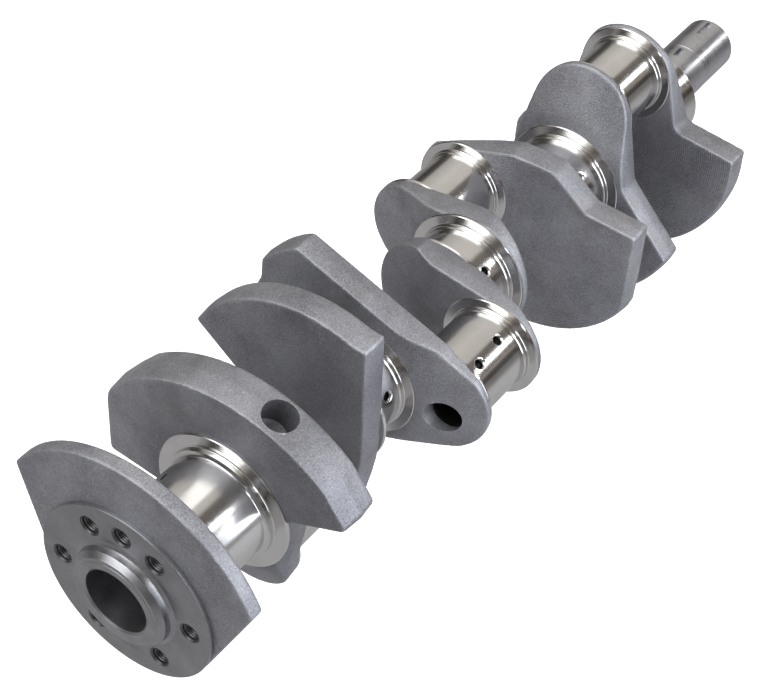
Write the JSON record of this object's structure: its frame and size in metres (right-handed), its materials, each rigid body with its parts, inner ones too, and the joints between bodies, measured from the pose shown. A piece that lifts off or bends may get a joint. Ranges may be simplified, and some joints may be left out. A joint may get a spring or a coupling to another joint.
{
  "type": "crankshaft",
  "caption": "Forged V-engine crankshaft with polished journals and crankpins, counterweighted webs, a drilled flywheel flange and a keyed snout.",
  "frame": {"origin": "on the crank axis, at the flywheel flange's machined face", "axes": "+X along the crank axis from the flange to the snout, +Z toward the first crankpin"},
  "size_m": [0.6875, 0.1814, 0.1866],
  "materials": {
    "pilot_hub_metal": "fine-turned satin steel",
    "flange_disc_metal": "fine-turned satin steel",
    "flange_counterweight_metal": "matte shot-peened forging, dark grey",
    "main_journal_5_metal": "ground and mirror-polished journal",
    "thrust_ring_metal": "fine-turned satin steel",
    "web_8_counterweight_metal": "matte shot-peened forging, dark grey",
    "crankpin_4_metal": "ground and mirror-polished journal",
    "web_7_counterweight_metal": "matte shot-peened forging, dark grey",
    "main_journal_4_metal": "ground and mirror-polished journal",
    "web_6_counterweight_metal": "matte shot-peened forging, dark grey",
    "crankpin_3_metal": "ground and mirror-polished journal",
    "web_5_arm_metal": "matte shot-peened forging, dark grey",
    "main_journal_3_metal": "ground and mirror-polished journal",
    "web_4_arm_metal": "matte shot-peened forging, dark grey",
    "crankpin_2_metal": "ground and mirror-polished journal",
    "web_3_counterweight_metal": "matte shot-peened forging, dark grey",
    "main_journal_2_metal": "ground and mirror-polished journal",
    "web_2_counterweight_metal": "matte shot-peened forging, dark grey",
    "crankpin_1_metal": "ground and mirror-polished journal",
    "web_1_counterweight_metal": "matte shot-peened forging, dark grey",
    "main_journal_1_metal": "ground and mirror-polished journal",
    "snout_metal": "fine-turned satin steel"
  },
  "bodies": {
    "root": {"pilot_hub": "pilot_hub_metal", "flange_disc": "flange_disc_metal", "flange_counterweight": "flange_counterweight_metal", "main_journal_5": "main_journal_5_metal", "thrust_ring": "thrust_ring_metal", "web_8_counterweight": "web_8_counterweight_metal", "crankpin_4": "crankpin_4_metal", "web_7_counterweight": "web_7_counterweight_metal", "main_journal_4": "main_journal_4_metal", "web_6_counterweight": "web_6_counterweight_metal", "crankpin_3": "crankpin_3_metal", "web_5_arm": "web_5_arm_metal", "main_journal_3": "main_journal_3_metal", "web_4_arm": "web_4_arm_metal", "crankpin_2": "crankpin_2_metal", "web_3_counterweight": "web_3_counterweight_metal", "main_journal_2": "main_journal_2_metal", "web_2_counterweight": "web_2_counterweight_metal", "crankpin_1": "crankpin_1_metal", "web_1_counterweight": "web_1_counterweight_metal", "main_journal_1": "main_journal_1_metal", "snout": "snout_metal"}
  },
  "joints": []
}
